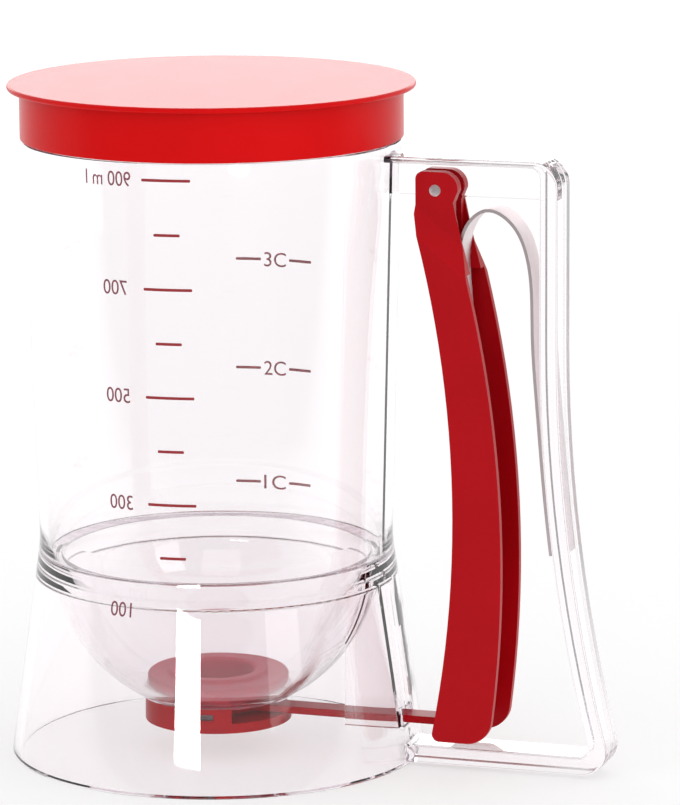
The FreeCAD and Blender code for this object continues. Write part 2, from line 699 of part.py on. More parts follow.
def make_lid():
    """Push-on lid: a disc that overhangs, and a skirt round the cup's stepped rim."""
    skirt_inner = RIM_RADIUS + GAP
    skirt_outer = skirt_inner + LID_SKIRT
    skirt_low = SHOULDER_HEIGHT + GAP
    under = CUP_HEIGHT + GAP
    top = under + LID_TOP
    return spun([
        (0, under),
        (skirt_inner, under),
        (skirt_inner, skirt_low),
        (skirt_outer, skirt_low),
        (skirt_outer, top - LID_EDGE),
        (LID_RADIUS - LID_EDGE / 2, top - LID_EDGE),
        (LID_RADIUS, top - LID_EDGE / 2),
        (LID_RADIUS - LID_EDGE / 2, top),
        (0, top),
    ])


PARTS = {
    "container": make_container,
    "outlet_seal": make_outlet_seal,
    "gate_cap": make_gate_cap,
    "gate": make_gate,
    "lever": make_lever,
    "pivot_pin": make_pivot_pin,
    "leaf_spring": make_leaf_spring,
    "lid": make_lid,
}

os.makedirs("parts", exist_ok=True)
print("pivot", round(PIVOT_X, 3), round(PIVOT_Z, 3))
print("gate arm", round(GATE_ARM, 3), "gate travel", round(GATE_TRAVEL, 3))
for name, make in PARTS.items():
    shape = make()
    solids = shape.Solids
    if len(solids) == 1:
        shape = solids[0]
    shape.exportStep(os.path.join("parts", name + ".step"))
    extent = shape.BoundBox
    low = [round(v, 1) for v in (extent.XMin, extent.YMin, extent.ZMin)]
    high = [round(v, 1) for v in (extent.XMax, extent.YMax, extent.ZMax)]
    print(name, len(solids), shape.isValid(), round(shape.Volume), low, high)
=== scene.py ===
# %% [markdown]
# # A pancake batter dispenser
# The real object is a clear cup with a bowl for a bottom, on a flared stand. A red lever in the
# loop handle draws a small gate open under the outlet, a bent steel strip pushes it shut, and a
# red lid is pushed over the rim. The cup, handle and stand are one clear moulding.
# The sizes come from a CAD model, which is loaded here as a fixed frame. Each piece below is
# either that model's own node with a better finish, or a finer piece that stands for the node.

# %% Load the frame
import math

import bmesh
import bpy
from mathutils import Matrix, Vector


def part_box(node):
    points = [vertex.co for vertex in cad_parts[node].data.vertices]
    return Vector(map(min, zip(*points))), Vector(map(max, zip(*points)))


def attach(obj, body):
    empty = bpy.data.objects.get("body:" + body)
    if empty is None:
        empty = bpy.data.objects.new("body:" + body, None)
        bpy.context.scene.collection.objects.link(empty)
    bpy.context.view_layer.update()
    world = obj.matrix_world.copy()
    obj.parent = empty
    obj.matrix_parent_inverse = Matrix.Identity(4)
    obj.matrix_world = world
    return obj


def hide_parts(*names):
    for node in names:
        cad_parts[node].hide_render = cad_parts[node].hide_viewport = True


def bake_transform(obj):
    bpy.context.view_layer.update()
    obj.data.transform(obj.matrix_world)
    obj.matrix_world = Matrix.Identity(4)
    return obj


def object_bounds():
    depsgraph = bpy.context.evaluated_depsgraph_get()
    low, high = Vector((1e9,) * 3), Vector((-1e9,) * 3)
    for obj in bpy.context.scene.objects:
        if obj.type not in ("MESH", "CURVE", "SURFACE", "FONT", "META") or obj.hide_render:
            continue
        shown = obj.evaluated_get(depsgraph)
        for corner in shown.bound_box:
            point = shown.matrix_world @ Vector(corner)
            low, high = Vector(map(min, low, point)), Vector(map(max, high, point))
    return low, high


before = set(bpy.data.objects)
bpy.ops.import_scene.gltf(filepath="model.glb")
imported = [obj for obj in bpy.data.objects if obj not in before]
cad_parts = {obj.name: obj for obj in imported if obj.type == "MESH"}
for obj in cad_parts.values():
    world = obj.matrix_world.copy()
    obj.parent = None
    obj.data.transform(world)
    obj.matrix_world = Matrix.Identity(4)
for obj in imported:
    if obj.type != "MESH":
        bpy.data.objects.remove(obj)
cad_low, cad_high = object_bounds()
print("object box in mm:", [round(v * 1000, 1) for v in cad_high - cad_low])

# %% [markdown]
# ## The camera
# The picture was taken from a little above, with a long lens, so the cup's sides stay almost
# upright. The camera stands 1.3 m away and looks down by 11 degrees, with the handle turned
# 20 degrees towards it. The place could be found by eye, but it was worked out from the
# ellipses of the rim and the base, because they only match at one height and distance.

# %% Place the camera
MM = 0.001
PICTURE_LONG_SIDE = 805
FOCAL_LENGTH_IN_PIXELS = 5000
SENSOR = 36
FARTHEST_SEEN = 20
EYE = Vector((452.2, -1242.5, 355.9)) * MM
OBJECT_TURN = math.radians(20)
YAW = math.radians(1.46)
PITCH = math.radians(11.17)
ROLL = math.radians(-0.39)

looking = Vector((
    math.sin(YAW) * math.cos(PITCH), math.cos(YAW) * math.cos(PITCH), -math.sin(PITCH)))
level_right = Vector((math.cos(YAW), -math.sin(YAW), 0))
level_up = level_right.cross(looking)
right = level_right * math.cos(ROLL) + level_up * math.sin(ROLL)
up = level_up * math.cos(ROLL) - level_right * math.sin(ROLL)
axes = Matrix((right, up, -looking)).transposed()
turn = Matrix.Rotation(OBJECT_TURN, 3, "Z")

camera = bpy.data.objects.new("camera", bpy.data.cameras.new("camera"))
bpy.context.scene.collection.objects.link(camera)
camera.matrix_world = Matrix.LocRotScale(EYE, (turn @ axes).to_quaternion(), None)
camera.data.sensor_width = SENSOR
camera.data.lens = FOCAL_LENGTH_IN_PIXELS / PICTURE_LONG_SIDE * SENSOR
camera.data.clip_end = FARTHEST_SEEN
bpy.context.scene.camera = camera
print("lens in mm:", round(camera.data.lens, 1))

# %% [markdown]
# ## Two helpers for materials
# Colours are easiest to pick as sRGB hex values, but shaders work in linear light, so one
# function converts them. The other adds a node with its settings and its links in one line, so
# a material reads as a short list of nodes.

# %% Colour and node helpers


def srgb(code):
    """A hex colour such as 'B0101C' as linear red, green, blue and alpha."""
    channels = [int(code[i:i + 2], 16) / 255 for i in (0, 2, 4)]
    linear = [c / 12.92 if c <= 0.04045 else ((c + 0.055) / 1.055) ** 2.4 for c in channels]
    return (*linear, 1.0)


def add_node(tree, kind, inputs, **settings):
    """Adds a node. Each input is given a value, or the output socket that feeds it."""
    node = tree.nodes.new(kind)
    for name, value in settings.items():
        setattr(node, name, value)
    for name, value in inputs.items():
        if isinstance(value, bpy.types.NodeSocket):
            tree.links.new(value, node.inputs[name])
        else:
            node.inputs[name].default_value = value
    return node


def new_material(name):
    material = bpy.data.materials.new(name)
    material.use_nodes = True
    material.node_tree.nodes.clear()
    return material, material.node_tree


# %% [markdown]
# ## Clear polycarbonate
# The cup is injection-moulded from a clear, hard plastic. It bends light a little more than
# window glass, and its long paths, such as the edge of the wall or the length of the handle,
# look faintly mauve-grey, because the plastic takes a little light on every millimetre. So the
# tint is a volume, not a surface colour: a thin wall stays clear and an edge darkens by itself.
# The wall has very shallow waves from the flow of the melt. Lamps shine through it, which a
# Transparent shader does for shadow rays, or whatever is inside would stand in the dark.

# %% Clear polycarbonate
POLYCARBONATE_IOR = 1.585
FLOW_WAVE = 14 * MM
FLOW_WAVE_DEPTH = 0.05 * MM
CLEAR_TINT = srgb("EADFE6")
TINT_PER_METRE = 16.0
LIGHT_THROUGH_A_FACE = srgb("F1E7EA")

clear, tree = new_material("clear_polycarbonate_moulded")
place = add_node(tree, "ShaderNodeTexCoord", {})
waves = add_node(tree, "ShaderNodeTexNoise", {
    "Vector": place.outputs["Object"], "Scale": 1 / FLOW_WAVE, "Detail": 1.0, "Roughness": 0.4})
relief = add_node(tree, "ShaderNodeBump", {
    "Height": waves.outputs["Fac"], "Strength": 0.35, "Distance": FLOW_WAVE_DEPTH})
glass = add_node(tree, "ShaderNodeBsdfPrincipled", {
    "Base Color": srgb("FDFBFC"), "Roughness": 0.015, "IOR": POLYCARBONATE_IOR,
    "Transmission Weight": 1.0, "Normal": relief.outputs["Normal"]})
lamp_path = add_node(tree, "ShaderNodeBsdfTransparent", {"Color": LIGHT_THROUGH_A_FACE})
rays = add_node(tree, "ShaderNodeLightPath", {})
surface = add_node(tree, "ShaderNodeMixShader", {
    0: rays.outputs["Is Shadow Ray"], 1: glass.outputs["BSDF"], 2: lamp_path.outputs["BSDF"]})
body_tint = add_node(tree, "ShaderNodeVolumeAbsorption", {
    "Color": CLEAR_TINT, "Density": TINT_PER_METRE})
add_node(tree, "ShaderNodeOutputMaterial", {
    "Surface": surface.outputs["Shader"], "Volume": body_tint.outputs["Volume"]})

# %% [markdown]
# ## Red moulded plastics
# The lever, gate and cap are a deep crimson polypropylene. The lid is the same kind of plastic in
# a brighter red, with a slightly smoother skin. Both shine only a little when seen straight on,
# which keeps the red deep, but at a low angle every plastic mirrors, and so the lid's top shows
# the softbox behind it. Both get a barely visible mottle, where pigment and wall thickness vary,
# a roughness that wanders, and the fine orange-peel of a polished mould.

# %% Red plastics
MOTTLE_SIZE = 18 * MM
GLOSS_PATCH_SIZE = 6 * MM
PEEL_SIZE = 1.1 * MM
PEEL_DEPTH = 0.04 * MM
POLYPROPYLENE_IOR = 1.49
RED_SHINE = 0.12
SMOOTHEST_SHARE = 0.95
ROUGHEST_SHARE = 1.07


def moulded_plastic(name, colour, deeper, roughness):
    """An opaque moulded plastic that wanders between two close colours."""
    material, tree = new_material(name)
    place = add_node(tree, "ShaderNodeTexCoord", {})
    mottle = add_node(tree, "ShaderNodeTexNoise", {
        "Vector": place.outputs["Object"], "Scale": 1 / MOTTLE_SIZE, "Detail": 3.0})
    shade = add_node(tree, "ShaderNodeMix", {
        "Factor": mottle.outputs["Fac"], "A": srgb(colour), "B": srgb(deeper)},
        data_type="RGBA")
    patches = add_node(tree, "ShaderNodeTexNoise", {
        "Vector": place.outputs["Object"], "Scale": 1 / GLOSS_PATCH_SIZE, "Detail": 2.0})
    gloss = add_node(tree, "ShaderNodeMapRange", {
        "Value": patches.outputs["Fac"], "To Min": roughness * SMOOTHEST_SHARE,
        "To Max": roughness * ROUGHEST_SHARE})
    peel = add_node(tree, "ShaderNodeTexNoise", {
        "Vector": place.outputs["Object"], "Scale": 1 / PEEL_SIZE, "Detail": 1.0})
    relief = add_node(tree, "ShaderNodeBump", {
        "Height": peel.outputs["Fac"], "Strength": 0.05, "Distance": PEEL_DEPTH})
    plastic = add_node(tree, "ShaderNodeBsdfPrincipled", {
        "Base Color": shade.outputs["Result"], "Roughness": gloss.outputs["Result"],
        "IOR": POLYPROPYLENE_IOR, "Specular IOR Level": RED_SHINE,
        "Normal": relief.outputs["Normal"]})
    add_node(tree, "ShaderNodeOutputMaterial", {"Surface": plastic.outputs["BSDF"]})
    return material


crimson = moulded_plastic("polypropylene_crimson_moulded", "B10814", "A5050F", 0.3)
lid_red = moulded_plastic("polypropylene_red_gloss", "D00306", "C40204", 0.26)

# %% [markdown]
# ## Silicone
# The seal in the outlet is a soft silicone ring: rougher than the plastic, slightly see-through
# at its thin edges, and dusty to the eye. A little subsurface light and a fine grain give that.

# %% Silicone
DUST_CLOUD_SIZE = 5 * MM
GRAIN_SIZE = 0.5 * MM
GRAIN_DEPTH = 0.03 * MM
LIGHT_SPREAD = 1.5 * MM
SILICONE_IOR = 1.41

silicone, tree = new_material("silicone_rubber_red")
place = add_node(tree, "ShaderNodeTexCoord", {})
cloud = add_node(tree, "ShaderNodeTexNoise", {
    "Vector": place.outputs["Object"], "Scale": 1 / DUST_CLOUD_SIZE, "Detail": 3.0})
shade = add_node(tree, "ShaderNodeMix", {
    "Factor": cloud.outputs["Fac"], "A": srgb("D8485F"), "B": srgb("C93C52")}, data_type="RGBA")
grain = add_node(tree, "ShaderNodeTexNoise", {
    "Vector": place.outputs["Object"], "Scale": 1 / GRAIN_SIZE, "Detail": 2.0})
relief = add_node(tree, "ShaderNodeBump", {
    "Height": grain.outputs["Fac"], "Strength": 0.25, "Distance": GRAIN_DEPTH})
rubber = add_node(tree, "ShaderNodeBsdfPrincipled", {
    "Base Color": shade.outputs["Result"], "Roughness": 0.48, "IOR": SILICONE_IOR,
    "Subsurface Weight": 0.15, "Subsurface Scale": LIGHT_SPREAD,
    "Normal": relief.outputs["Normal"]})
add_node(tree, "ShaderNodeOutputMaterial", {"Surface": rubber.outputs["BSDF"]})

# %% [markdown]
# ## Stainless strip
# The spring and the pin are stainless steel. The strip was rolled, so its grain runs along it in
# very fine lines. Noise that is stretched along the height draws them. They are drawn coarser
# than real ones, at about 0.3 mm, or they wouldn't show.

# %% Stainless steel
LINE_SIZE = 0.3 * MM
LINE_DEPTH = 0.02 * MM
LINE_STRETCH = (0.3, 1.0, 0.03)

steel, tree = new_material("stainless_steel_rolled")
place = add_node(tree, "ShaderNodeTexCoord", {})
along = add_node(tree, "ShaderNodeMapping", {
    "Vector": place.outputs["Object"], "Scale": LINE_STRETCH})
lines = add_node(tree, "ShaderNodeTexNoise", {
    "Vector": along.outputs["Vector"], "Scale": 1 / LINE_SIZE, "Detail": 2.0})
shade = add_node(tree, "ShaderNodeMix", {
    "Factor": lines.outputs["Fac"], "A": srgb("F7ECED"), "B": srgb("E4D7D9")}, data_type="RGBA")
gloss = add_node(tree, "ShaderNodeMapRange", {
    "Value": lines.outputs["Fac"], "To Min": 0.4, "To Max": 0.52})
relief = add_node(tree, "ShaderNodeBump", {
    "Height": lines.outputs["Fac"], "Strength": 0.1, "Distance": LINE_DEPTH})
metal = add_node(tree, "ShaderNodeBsdfPrincipled", {
    "Base Color": shade.outputs["Result"], "Metallic": 1.0,
    "Roughness": gloss.outputs["Result"], "Normal": relief.outputs["Normal"]})
add_node(tree, "ShaderNodeOutputMaterial", {"Surface": metal.outputs["BSDF"]})

# %% [markdown]
# ## Printing ink
# The scale is screen-printed: a thin, even, slightly matt layer. Its edge is crisp, but the ink
# is not quite even, so a fine noise lightens it in places.

# %% Printing ink
SCREEN_MARK_SIZE = 0.6 * MM
INK_IOR = 1.5


def printing_ink(name, colour, thin):
    """A matt ink that is a little lighter where its layer is thin."""
    material, tree = new_material(name)
    place = add_node(tree, "ShaderNodeTexCoord", {})
    mesh_marks = add_node(tree, "ShaderNodeTexNoise", {
        "Vector": place.outputs["Object"], "Scale": 1 / SCREEN_MARK_SIZE, "Detail": 2.0})
    shade = add_node(tree, "ShaderNodeMix", {
        "Factor": mesh_marks.outputs["Fac"], "A": srgb(colour), "B": srgb(thin)},
        data_type="RGBA")
    layer = add_node(tree, "ShaderNodeBsdfPrincipled", {
        "Base Color": shade.outputs["Result"], "Roughness": 0.5, "IOR": INK_IOR})
    add_node(tree, "ShaderNodeOutputMaterial", {"Surface": layer.outputs["BSDF"]})
    return material


tick_ink = printing_ink("screen_print_ink_red", "8E1A22", "A02A31")
numeral_ink = printing_ink("screen_print_ink_plum", "7A3A46", "8B4C57")
cup_ink = printing_ink("screen_print_ink_dusky_red", "9A3239", "A8444A")

# %% [markdown]
# ## Helpers for pieces
# A turned piece, such as the lid, starts as a line of corners beside the axis and is spun into a
# closed skin, and its corners are bevelled after that, one radius for each. The CAD model's own
# nodes are loose triangles: a copy is joined and its flat faces are cleaned, so that its edges
# can be rounded as a mould rounds them.

# %% Piece helpers
TURN_STEPS = 192
TURNED_CORNER_STEPS = 4
MERGE_DISTANCE = 0.001
CORNER_TOLERANCE = 0.01
SHARP_FACE_ANGLE = math.radians(35)
FLAT_FACE_ANGLE = math.radians(0.3)


def make_piece(name, bm, material, body, stands_for):
    """Turns a bmesh into an object that rides on a body and stands for a CAD node."""
    mesh = bpy.data.meshes.new(name)
    bm.to_mesh(mesh)
    bm.free()
    mesh.shade_smooth()
    mesh.set_sharp_from_angle(angle=SHARP_FACE_ANGLE)
    mesh.materials.append(material)
    made = bpy.data.objects.new(name, mesh)
    bpy.context.scene.collection.objects.link(made)
    even = made.modifiers.new("even_normals", "WEIGHTED_NORMAL")
    even.keep_sharp = True
    if body:
        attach(made, body)
    if stands_for:
        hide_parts(stands_for)
    print(name, "faces:", len(mesh.polygons))
    return made


def turned(corners, radii):
    """Spins a line of (radius, height) corners in mm, and rounds the corners named in radii."""
    bm = bmesh.new()
    line = [bm.verts.new((r * MM, 0, z * MM)) for r, z in corners]
    edges = [bm.edges.new(pair) for pair in zip(line, line[1:])]
    if corners[0][0] > 0:
        edges.append(bm.edges.new((line[-1], line[0])))
    bmesh.ops.spin(bm, geom=line + edges, axis=(0, 0, 1), cent=(0, 0, 0), angle=math.tau,
                   steps=TURN_STEPS, use_merge=True)
    bmesh.ops.remove_doubles(bm, verts=bm.verts, dist=MERGE_DISTANCE * MM)
    bmesh.ops.recalc_face_normals(bm, faces=bm.faces)
    for index, radius in radii.items():
        r, z = corners[index]
        ring = [e for e in bm.edges if all(
            abs(v.co.z / MM - z) < CORNER_TOLERANCE
            and abs(v.co.xy.length / MM - r) < CORNER_TOLERANCE
            for v in e.verts)]
        bmesh.ops.bevel(bm, geom=ring, offset=radius * MM, offset_type="OFFSET", affect="EDGES",
                        segments=TURNED_CORNER_STEPS, profile=0.5, material=-1)
    return bm


def joined_copy(node):
    """The CAD node's triangles, joined, with its flat faces made whole."""
    bm = bmesh.new()
    bm.from_mesh(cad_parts[node].data)
    bmesh.ops.remove_doubles(bm, verts=bm.verts, dist=2 * MERGE_DISTANCE * MM)
    bmesh.ops.dissolve_limit(bm, angle_limit=FLAT_FACE_ANGLE, verts=bm.verts, edges=bm.edges)
    return bm


def soften(bm, radius, segments=3):
    """Rounds every sharp edge by that radius in mm."""
    sharp = [e for e in bm.edges
             if len(e.link_faces) == 2 and e.calc_face_angle() > SHARP_FACE_ANGLE]
    bmesh.ops.bevel(bm, geom=sharp, offset=radius * MM, offset_type="OFFSET", affect="EDGES",
                    segments=segments, profile=0.5, clamp_overlap=True, material=-1)
    return bm


# %% [markdown]
# ## The cup
# Cup, bowl, stand and handle are one moulding, and its shape is all in the CAD model, with the
# walls' real thickness, which refraction needs. So the node stays and only gets its plastic.

# %% The cup's finish
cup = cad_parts["container"]
cup.data.materials[0] = clear
print("cup faces:", len(cup.data.polygons))

# %% [markdown]
# ## The lid
# A flat disc that overhangs the cup, with a skirt that grips the rim. It could be a CAD copy, but
# its rounded edge is what catches the light, so it is turned again from its few corners, and
# each corner gets its own radius.

# %% The lid
lid_low, lid_high = (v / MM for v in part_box("lid"))
LID_DISC = 1.5
LID_TOP_WALL = 1.8
LID_SKIRT_OUTER = 51.2
LID_SKIRT_INNER = 50.1
LID_CORNER_RADII = {1: 0.7, 2: 0.7, 4: 0.45, 5: 0.4, 6: 0.4}
lid_radius = lid_high.x
lid_corners = [
    (0, lid_high.z),
    (lid_radius, lid_high.z),
    (lid_radius, lid_high.z - LID_DISC),
    (LID_SKIRT_OUTER, lid_high.z - LID_DISC),
    (LID_SKIRT_OUTER, lid_low.z),
    (LID_SKIRT_INNER, lid_low.z),
    (LID_SKIRT_INNER, lid_high.z - LID_TOP_WALL),
    (0, lid_high.z - LID_TOP_WALL),
]
make_piece("lid_visual", turned(lid_corners, LID_CORNER_RADII),
           lid_red, "lid", "lid")

# %% [markdown]
# ## The outlet seal
# A soft ring in the bowl's opening. It is turned like the lid, with generous radii, because
# silicone leaves the mould with round edges, and with a raised lip round its hole.

# %% The outlet seal
seal_low, seal_high = (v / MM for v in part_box("outlet_seal"))
SEAL_HOLE = 10.0
SEAL_NECK = 15.9
SEAL_SEAT = 17.52
SEAL_LIP_WIDTH = 3.2
SEAL_LIP_STEP = 0.9
SEAL_CORNER_RADII = {0: 0.3, 1: 0.3, 4: 1.1, 5: 0.5, 6: 0.5, 7: 1.0}
seal_radius = seal_high.x
seal_corners = [
    (SEAL_HOLE, seal_low.z),
    (SEAL_NECK, seal_low.z),
    (SEAL_NECK, SEAL_SEAT),
    (seal_radius, SEAL_SEAT),
    (seal_radius, seal_high.z - SEAL_LIP_STEP),
    (SEAL_HOLE + SEAL_LIP_WIDTH + SEAL_LIP_STEP, seal_high.z - SEAL_LIP_STEP),
    (SEAL_HOLE + SEAL_LIP_WIDTH, seal_high.z),
    (SEAL_HOLE, seal_high.z),
]
make_piece("outlet_seal_visual", turned(seal_corners, SEAL_CORNER_RADII),
           silicone, "container", "outlet_seal")

# %% [markdown]
# ## Cap, gate and lever
# These are drawn in full in the CAD model. Copies of them get the small edge radii that every
# moulded part has. Without them an edge shows no highlight and looks cut from card.

# %% Cap, gate and lever
CAP_EDGE = 0.25
GATE_EDGE = 0.3
LEVER_EDGE = 0.6
make_piece("gate_cap_visual", soften(joined_copy("gate_cap"), CAP_EDGE, segments=2),
           crimson, "cap", "gate_cap")
make_piece("gate_visual", soften(joined_copy("gate"), GATE_EDGE),
           crimson, "gate", "gate")
make_piece("lever_visual", soften(joined_copy("lever"), LEVER_EDGE),
           crimson, "lever", "lever")

# %% [markdown]
# ## The pin
# A steel rivet that the lever turns on. Its ends were pressed into low domes, a little wider than
# its shank, and that is all of it that shows. One head is a short list of radii and of heights
# from the pin's end, and the other is its mirror. The pin is turned upright and laid across.

# %% The pin
pin_low, pin_high = (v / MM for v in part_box("pivot_pin"))
PIN_HEAD_PROFILE = [(0, 0.35), (0.93, 0.25), (1.55, -0.05), (1.55, -0.18)]
PIN_DOME_ROUNDING = 0.3
pin_middle = (pin_low + pin_high) / 2
pin_radius = (pin_high.x - pin_low.x) / 2
pin_half = pin_high.y
head = [(r, pin_half + rise) for r, rise in PIN_HEAD_PROFILE]
head.append((pin_radius, head[-1][1]))
pin_line = head + [(r, -z) for r, z in reversed(head)]
dome = 1
other_dome = len(pin_line) - 1 - dome
bm = turned(pin_line, {dome: PIN_DOME_ROUNDING, other_dome: PIN_DOME_ROUNDING})
bmesh.ops.rotate(bm, verts=bm.verts, cent=(0, 0, 0), matrix=Matrix.Rotation(math.pi / 2, 3, "X"))
bmesh.ops.translate(bm, verts=bm.verts, vec=Vector((pin_middle.x, 0, pin_middle.z)) * MM)
make_piece("pivot_pin_visual", bm, steel, "lever", "pivot_pin")

# %% [markdown]
# ## The leaf spring
# One steel strip, bent like a hairpin, between the lever and the grip. When the lever is
# squeezed, one leg goes with it and the other stays, and the bend gives. The copy gets rounded
# edges and stays where the model puts it, riding on no body.

# %% The leaf spring
SPRING_EDGE = 0.15
spring = make_piece(
    "leaf_spring_visual", soften(joined_copy("leaf_spring"), SPRING_EDGE, segments=2),
    steel, None, "leaf_spring")
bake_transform(spring)

# %% [markdown]
# ## The printed scales
# Two scales are printed on the cup, one in millilitres and one in cups. They could be a picture
# laid on the wall, but real marks stay sharp at any distance. So each mark is flat first, as a
# short bar or as text, and is then laid round the wall by turning its width into an angle.

# %% Mark helpers
WAIST_HEIGHT = 58.5
WAIST_RADIUS = 47.7
SHOULDER_HEIGHT = 167.3
SHOULDER_RADIUS = 50.6
BASE_RADIUS = 56.2
INK_THICKNESS = 0.06
BAR_SEGMENTS = 12
BAR_END_ROUNDING = 0.3
LETTER_CURVE_STEPS = 6
LETTER_MERGE_DISTANCE = 1e-5


def wall_radius(height):
    """Outer radius of the cup's wall or stand at a height, in mm."""
    if height < WAIST_HEIGHT:
        return BASE_RADIUS + height / WAIST_HEIGHT * (WAIST_RADIUS - BASE_RADIUS)
    share = (height - WAIST_HEIGHT) / (SHOULDER_HEIGHT - WAIST_HEIGHT)
    return WAIST_RADIUS + share * (SHOULDER_RADIUS - WAIST_RADIUS)


def lay_on_wall(bm, azimuth, height, towards):
    """Lays a flat mark, in mm, on the wall. Its x runs to larger or smaller azimuth."""
    for vert in bm.verts:
        z = height + vert.co.y
        radius = wall_radius(z)
        angle = math.radians(azimuth) + towards * vert.co.x / radius
        out = radius + INK_THICKNESS / 2 + vert.co.z
        vert.co = Vector((out * math.cos(angle), out * math.sin(angle), z)) * MM
    bmesh.ops.recalc_face_normals(bm, faces=bm.faces)


def bar_mark(length, thickness):
    """A flat bar with soft ends, cut across so that it can bend round the wall."""
    bm = bmesh.new()
    bmesh.ops.create_cube(bm, size=1)
    bmesh.ops.scale(bm, verts=bm.verts, vec=(length, thickness, INK_THICKNESS))
    ends = [e for e in bm.edges if abs((e.verts[0].co - e.verts[1].co).z) > INK_THICKNESS / 2]
    bmesh.ops.bevel(bm, geom=ends, offset=thickness * BAR_END_ROUNDING, offset_type="OFFSET",
                    affect="EDGES", segments=2, profile=0.5, material=-1)
    for step in range(1, BAR_SEGMENTS):
        x = length * (step / BAR_SEGMENTS - 0.5)
        bmesh.ops.bisect_plane(bm, geom=bm.verts[:] + bm.edges[:] + bm.faces[:],
                               plane_co=(x, 0, 0), plane_no=(1, 0, 0))
    return bm


def text_mark(words, height, width, mirrored):
    """Text as a flat mesh of that size in mm, centred, and back to front if it is mirrored."""
    curve = bpy.data.curves.new("mark_text", "FONT")
    curve.body = words
    curve.extrude = INK_THICKNESS / 2
    curve.resolution_u = LETTER_CURVE_STEPS
    writer = bpy.data.objects.new("mark_text", curve)
    bpy.context.scene.collection.objects.link(writer)
    bpy.context.view_layer.update()
    mesh = bpy.data.meshes.new_from_object(writer)
    bm = bmesh.new()
    bm.from_mesh(mesh)
    bpy.data.objects.remove(writer)
    bpy.data.curves.remove(curve)
    bpy.data.meshes.remove(mesh)
    low = Vector([min(v.co[i] for v in bm.verts) for i in range(3)])
    high = Vector([max(v.co[i] for v in bm.verts) for i in range(3)])
    middle = (low + high) / 2
    bmesh.ops.translate(bm, verts=bm.verts, vec=(-middle.x, -middle.y, 0))
    side = -1 if mirrored else 1
    wider = side * width / (high.x - low.x)
    taller = height / (high.y - low.y)
    bmesh.ops.scale(bm, verts=bm.verts, vec=(wider, taller, 1))
    bmesh.ops.remove_doubles(bm, verts=bm.verts, dist=LETTER_MERGE_DISTANCE)
    return bm


def gather(parts):
    """Joins several bmeshes into one."""
    whole = bmesh.new()
    for part in parts:
        mesh = bpy.data.meshes.new("mark_part")
        part.to_mesh(mesh)
        part.free()
        whole.from_mesh(mesh)
        bpy.data.meshes.remove(mesh)
    return whole


# %% [markdown]
# ## The millilitre scale
# It is printed on the wall next to the camera: a tick for each hundred from 200 up, longer at the
# odd ones, and a number at 100 and every second hundred after it. The steps are even, so a loop
# places them from one height and one step. The picture shows the numbers back to front, and they
# are placed as seen.

# %% The millilitre scale
SCALE_FOOT = 48.4
SCALE_STEP = 14.33
TICK_AZIMUTH = -83.9
NUMERAL_AZIMUTH = -101.0
TOP_NUMERAL_AZIMUTH = -102.6
TOP_HUNDRED = 9
LONG_TICK = 13.0
SHORT_TICK = 7.0
TICK_THICKNESS = 0.75
NUMERAL_HEIGHT = 3.9
NUMERAL_WIDTHS = {100: 6.3, 300: 6.9, 500: 7.1, 700: 7.1, 900: 13.8}
OUTSIDE = 1

ticks = []
numerals = []
for hundred in range(1, TOP_HUNDRED + 1):
    height = SCALE_FOOT + SCALE_STEP * (hundred - 1)
    long = hundred % 2 == 1
    if hundred > 1:
        tick = bar_mark(LONG_TICK if long else SHORT_TICK, TICK_THICKNESS)
        lay_on_wall(tick, TICK_AZIMUTH, height, OUTSIDE)
        ticks.append(tick)
    if long:
        top = hundred == TOP_HUNDRED
        words = "900 m l" if top else str(hundred * 100)
        number = text_mark(words, NUMERAL_HEIGHT, NUMERAL_WIDTHS[hundred * 100], mirrored=True)
        lay_on_wall(number, TOP_NUMERAL_AZIMUTH if top else NUMERAL_AZIMUTH, height, OUTSIDE)
        numerals.append(number)
make_piece("scale_ml_ticks", gather(ticks), tick_ink, "container", None)
make_piece("scale_ml_numerals", gather(numerals), numeral_ink, "container", None)

# %% [markdown]
# ## The cup scale
# It is printed on the wall behind, as 1C, 2C and 3C with a dash on each side, and is read through
# the cup. The picture shows it the right way round, so its marks run the other way round the
# wall. The heights are listed one by one, since the steps in the picture aren't quite even.

# %% The cup scale
CUP_AZIMUTH = 89.0
CUP_HEIGHTS = {"3C": 126.5, "2C": 96.0, "1C": 63.8}
CUP_LETTER_HEIGHT = 4.0
CUP_WORD_WIDTH = 6.7
DASH_LENGTH = 7.3
DASH_OFFSET = 8.0
INSIDE = -1

cup_marks = []
for words, height in CUP_HEIGHTS.items():
    letters = text_mark(words, CUP_LETTER_HEIGHT, CUP_WORD_WIDTH, mirrored=False)
    lay_on_wall(letters, CUP_AZIMUTH, height, INSIDE)
    cup_marks.append(letters)
    for side in (-1, 1):
        dash = bar_mark(DASH_LENGTH, TICK_THICKNESS)
        bmesh.ops.translate(dash, verts=dash.verts, vec=(side * DASH_OFFSET, 0, 0))
        lay_on_wall(dash, CUP_AZIMUTH, height, INSIDE)
        cup_marks.append(dash)
make_piece("scale_cups", gather(cup_marks), cup_ink, "container", None)

# %% [markdown]
# ## The floor
# The picture is white all round. The floor is white to the camera, and to rays that glass and
# gloss send on, so that the clear plastic shows that white too. It keeps part of its own
# shading, or the object would seem to float.
# A white floor has one fault: each face of the clear walls mirrors it, and that lays a white veil
# over the red parts behind. A studio is dark on the camera's side, and so is this one, but only
# for rays that were mirrored at least once. Rays that go straight through the plastic still find
# white on every side, so the cup also stays clear from behind.

